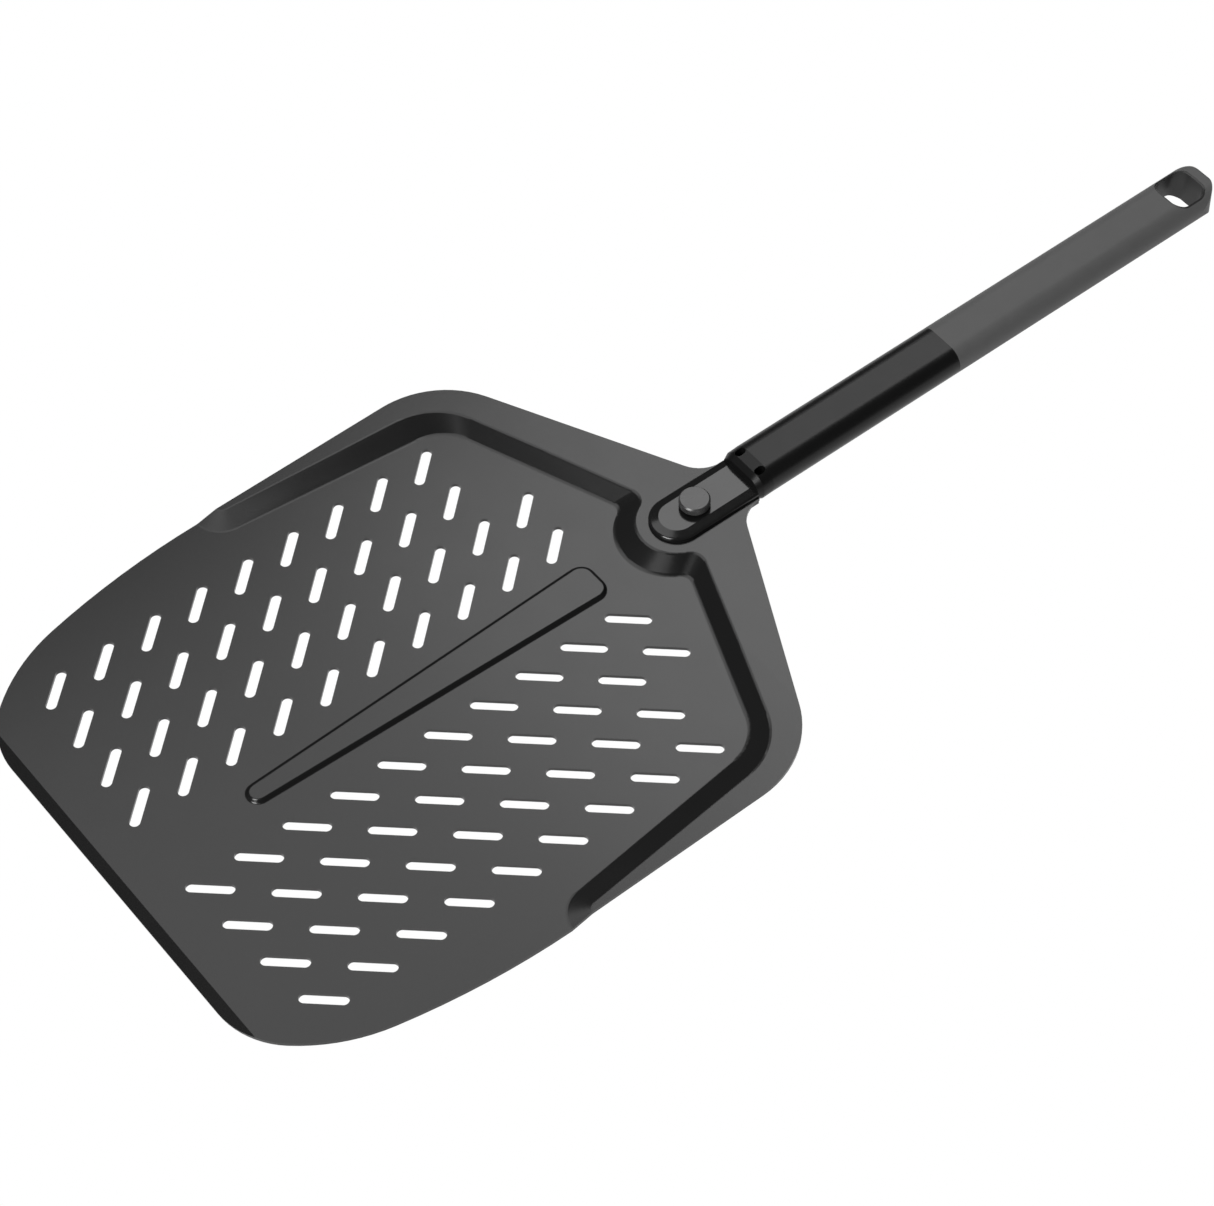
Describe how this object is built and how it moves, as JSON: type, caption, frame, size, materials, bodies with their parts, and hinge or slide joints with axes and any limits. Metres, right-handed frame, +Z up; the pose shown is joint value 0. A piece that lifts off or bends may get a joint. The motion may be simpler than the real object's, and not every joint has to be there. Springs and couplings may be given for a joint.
{
  "type": "pizza peel",
  "caption": "Perforated pizza peel with a raised rim behind a flat, bevelled front and a flat oval handle clamped on by a knurled thumbscrew.",
  "frame": {"origin": "on the surface the peel lies on, under the centre of its bounding box", "axes": "+X along the peel from the blade to the end of the handle, +Y across it, +Z up out of the blade's floor"},
  "size_m": [0.6918, 0.304, 0.0182],
  "materials": {
    "blade_metal": "satin hard-anodised",
    "jaw_metal": "satin anodised with polished shoulder",
    "pad_rubber": "matte",
    "screw_steel": "knurled and turned",
    "shank_steel": "plain",
    "insert_brass": "machined",
    "collar_plastic": "fine moulded",
    "sleeve_plastic": "satin moulded",
    "grip_plastic": "soft-touch moulded",
    "tube_metal": "extruded",
    "inner_plastic": "moulded",
    "eye_plastic": "moulded"
  },
  "bodies": {
    "blade": {"blade": "blade_metal"},
    "handle": {"upper_jaw": "jaw_metal", "lower_jaw": "jaw_metal", "upper_pad": "pad_rubber", "lower_pad": "pad_rubber", "shank": "shank_steel", "shank_rivets": "shank_steel", "jaw_screws": "screw_steel", "thread_insert": "insert_brass", "collar": "collar_plastic", "tube_insert": "inner_plastic", "handle_tube": "tube_metal", "tube_pins": "shank_steel", "front_sleeve": "sleeve_plastic", "grip": "grip_plastic", "end_plug": "inner_plastic", "hanging_eye": "eye_plastic"},
    "screw_washer": {"knob_washer": "screw_steel"},
    "clamp_screw": {"knob": "screw_steel", "stud": "screw_steel"}
  },
  "joints": [
    {"name": "handle_slide", "type": "slide", "parent": "blade", "child": "handle", "axis": [1, 0, 0], "range_m": [0, 0.054]},
    {"name": "screw_lift", "type": "slide", "parent": "handle", "child": "screw_washer", "axis": [0, 0, 1], "range_m": [0, 0.003]},
    {"name": "knob_turn", "type": "hinge", "parent": "screw_washer", "child": "clamp_screw", "pos_m": [-0.0014, 0, 0.0091], "axis": [0, 0, 1], "range_deg": [0, 1080]}
  ],
  "couplings": [
    {"joint": "knob_turn", "follows": "screw_lift", "rad_per_m": 6283.2}
  ]
}
